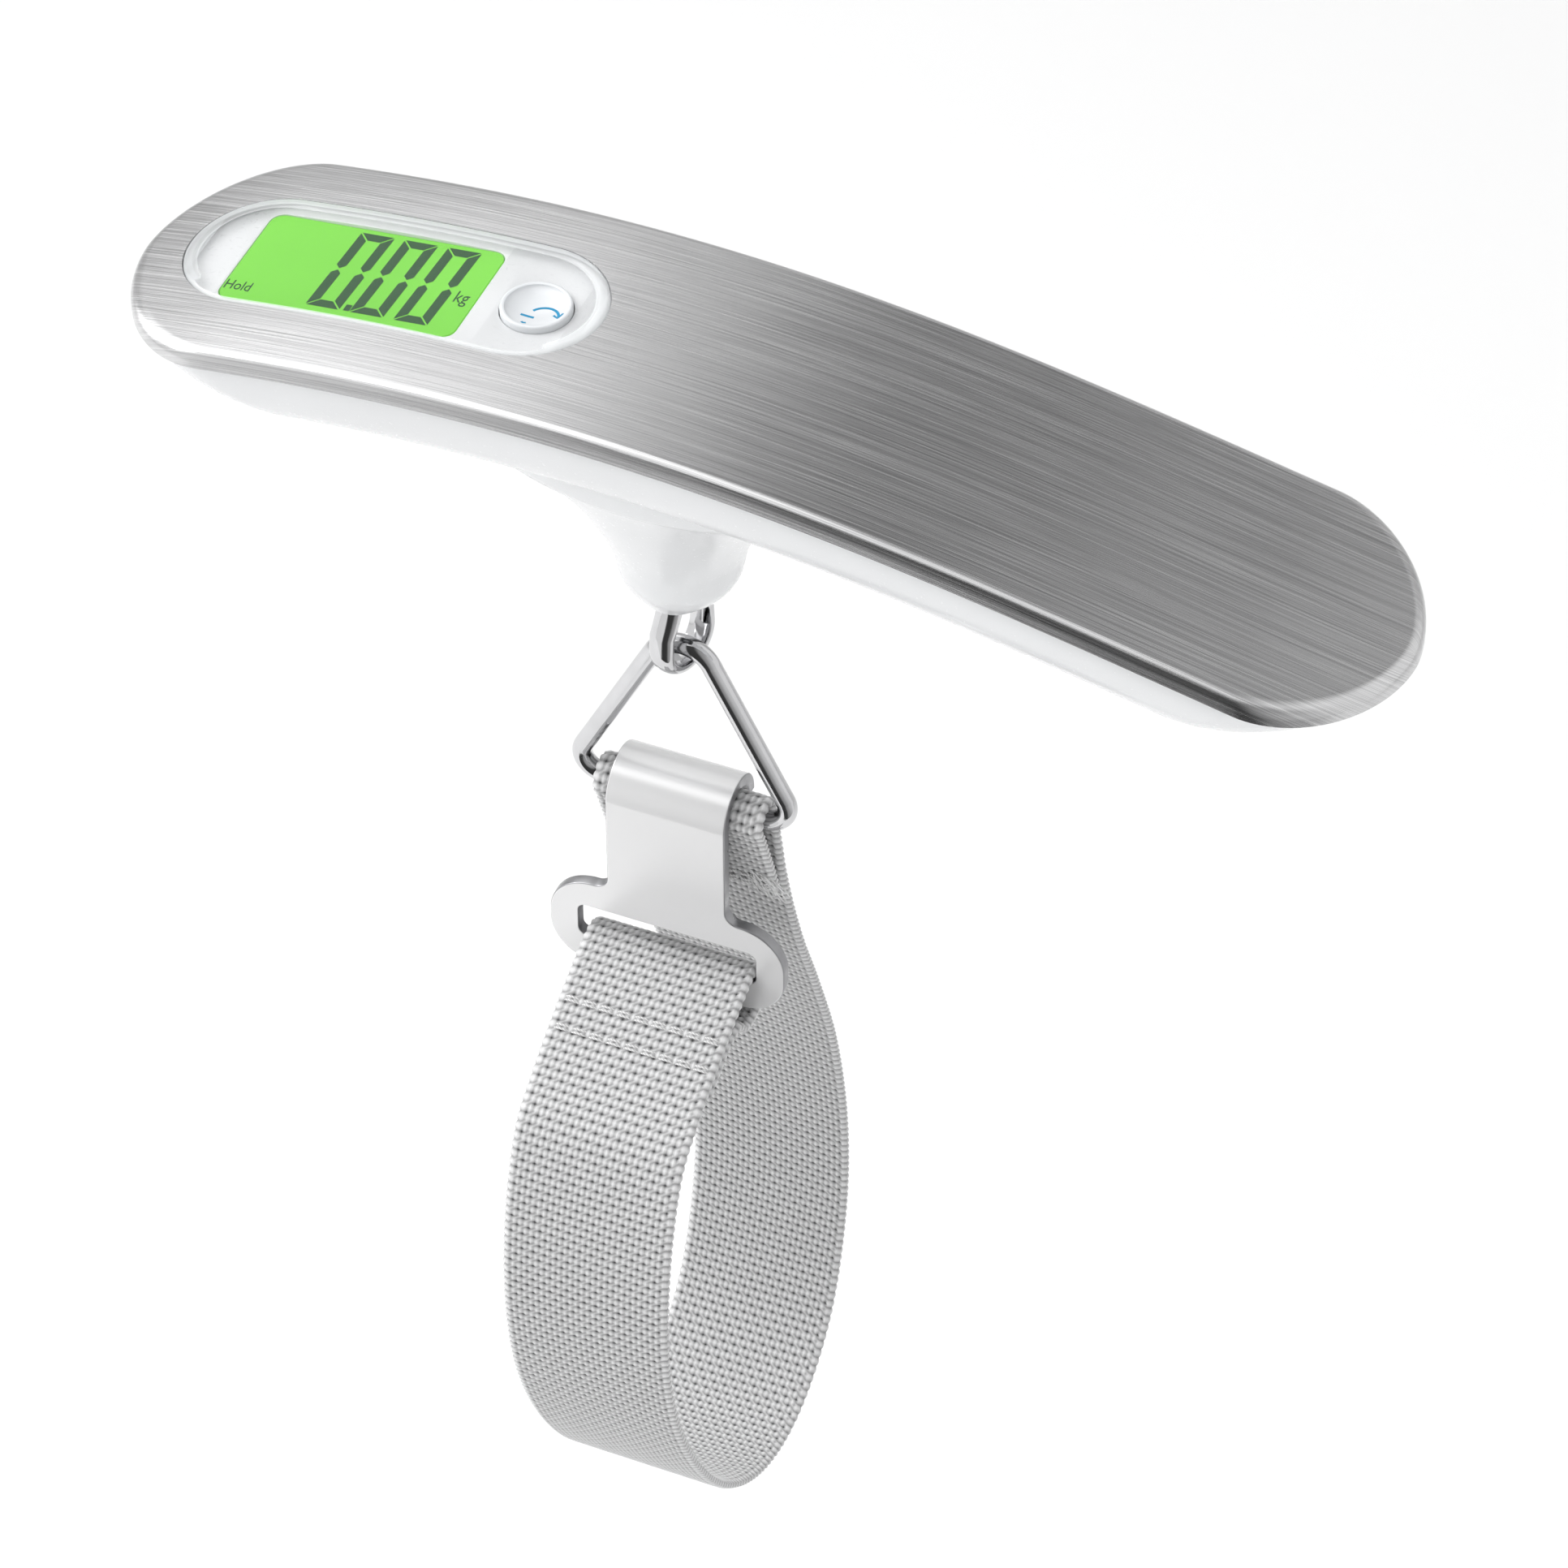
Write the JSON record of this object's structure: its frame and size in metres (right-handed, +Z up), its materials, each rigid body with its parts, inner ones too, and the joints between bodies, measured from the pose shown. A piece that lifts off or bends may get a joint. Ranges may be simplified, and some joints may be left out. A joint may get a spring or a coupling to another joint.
{
  "type": "digital luggage scale",
  "caption": "Hand-held luggage scale: arched steel-topped handle with display and button, neck, ring, T-shaped strap hook and webbing loop.",
  "frame": {"origin": "crown of the handle's top surface, above the line the load hangs on", "axes": "+X along the handle away from the display, -Y towards the side with the strap hook, +Z up"},
  "size_m": [0.144, 0.0566, 0.1802],
  "materials": {
    "adc_chip": "moulded",
    "backlight_guide": "smooth",
    "backlight_led_1": "smooth",
    "backlight_led_2": "smooth",
    "battery_contact_side": "sprung sheet",
    "battery_contact_top": "sprung sheet",
    "battery_cover": "gloss",
    "board_screw_1": "zinc plate",
    "board_screw_2": "zinc plate",
    "button_cap": "clear gloss",
    "case_screw_1": "zinc plate",
    "case_screw_2": "zinc plate",
    "case_screw_3": "zinc plate",
    "case_screw_4": "zinc plate",
    "case_screw_5": "zinc plate",
    "cell_screw_1": "zinc plate",
    "cell_screw_2": "zinc plate",
    "circuit_board": "solder mask",
    "coin_cell": "nickel",
    "controller_chip": "resin",
    "crystal": "nickel",
    "display_bezel": "gloss",
    "display_lens": "clear",
    "gauge_wire_1": "insulation",
    "gauge_wire_2": "insulation",
    "gauge_wire_3": "insulation",
    "hook_eye": "polished plate",
    "hook_pin": "nickel",
    "lcd_glass": "smooth",
    "load_cell": "machined",
    "load_link": "plated sheet",
    "load_plate": "plated sheet",
    "lower_shell": "gloss",
    "steel_cover": "fine brushed along the handle",
    "strain_gauge": "film",
    "switch_body": "moulded",
    "switch_plunger": "moulded",
    "t_hook": "polished plate",
    "triangle_ring": "polished plate",
    "upper_frame": "gloss",
    "webbing_hook_end": "woven",
    "webbing_strap": "woven",
    "zebra_strip": "matt"
  },
  "bodies": {
    "casing": {"adc_chip": "adc_chip", "backlight_guide": "backlight_guide", "backlight_led_1": "backlight_led_1", "backlight_led_2": "backlight_led_2", "battery_contact_side": "battery_contact_side", "battery_contact_top": "battery_contact_top", "board_screw_1": "board_screw_1", "board_screw_2": "board_screw_2", "case_screw_1": "case_screw_1", "case_screw_2": "case_screw_2", "case_screw_3": "case_screw_3", "case_screw_4": "case_screw_4", "case_screw_5": "case_screw_5", "cell_screw_1": "cell_screw_1", "cell_screw_2": "cell_screw_2", "circuit_board": "circuit_board", "coin_cell": "coin_cell", "controller_chip": "controller_chip", "crystal": "crystal", "display_bezel": "display_bezel", "display_lens": "display_lens", "gauge_wire_1": "gauge_wire_1", "gauge_wire_2": "gauge_wire_2", "gauge_wire_3": "gauge_wire_3", "hook_pin": "hook_pin", "lcd_glass": "lcd_glass", "load_cell": "load_cell", "load_link": "load_link", "load_plate": "load_plate", "lower_shell": "lower_shell", "steel_cover": "steel_cover", "strain_gauge": "strain_gauge", "switch_body": "switch_body", "upper_frame": "upper_frame", "zebra_strip": "zebra_strip"},
    "button": {"button_cap": "button_cap", "switch_plunger": "switch_plunger"},
    "battery_door": {"battery_cover": "battery_cover"},
    "eye": {"hook_eye": "hook_eye"},
    "ring": {"triangle_ring": "triangle_ring"},
    "strap": {"webbing_strap": "webbing_strap"},
    "hook": {"t_hook": "t_hook", "webbing_hook_end": "webbing_hook_end"}
  },
  "joints": [
    {"name": "button_press", "type": "slide", "parent": "casing", "child": "button", "axis": [0.0238, 0, -0.9997], "range_m": [0, 0.0005], "stiffness_N_per_m": 900},
    {"name": "battery_cover_off", "type": "slide", "parent": "casing", "child": "battery_door", "axis": [-0.2047, 0, -0.9788], "range_m": [0, 0.012]},
    {"name": "eye_rock", "type": "hinge", "parent": "casing", "child": "eye", "pos_m": [0, 0, -0.0262], "axis": [0, 1, 0], "range_deg": [-6, 6]},
    {"name": "ring_swing", "type": "hinge", "parent": "eye", "child": "ring", "pos_m": [0, 0, -0.0426], "axis": [1, 0, 0], "range_deg": [-70, 80]},
    {"name": "strap_swing", "type": "hinge", "parent": "ring", "child": "strap", "pos_m": [0, 0, -0.0658], "axis": [1, 0, 0], "range_deg": [-65, 75]},
    {"name": "hook_release", "type": "slide", "parent": "strap", "child": "hook", "axis": [0, 0, 1], "range_m": [0, 0.005]}
  ]
}
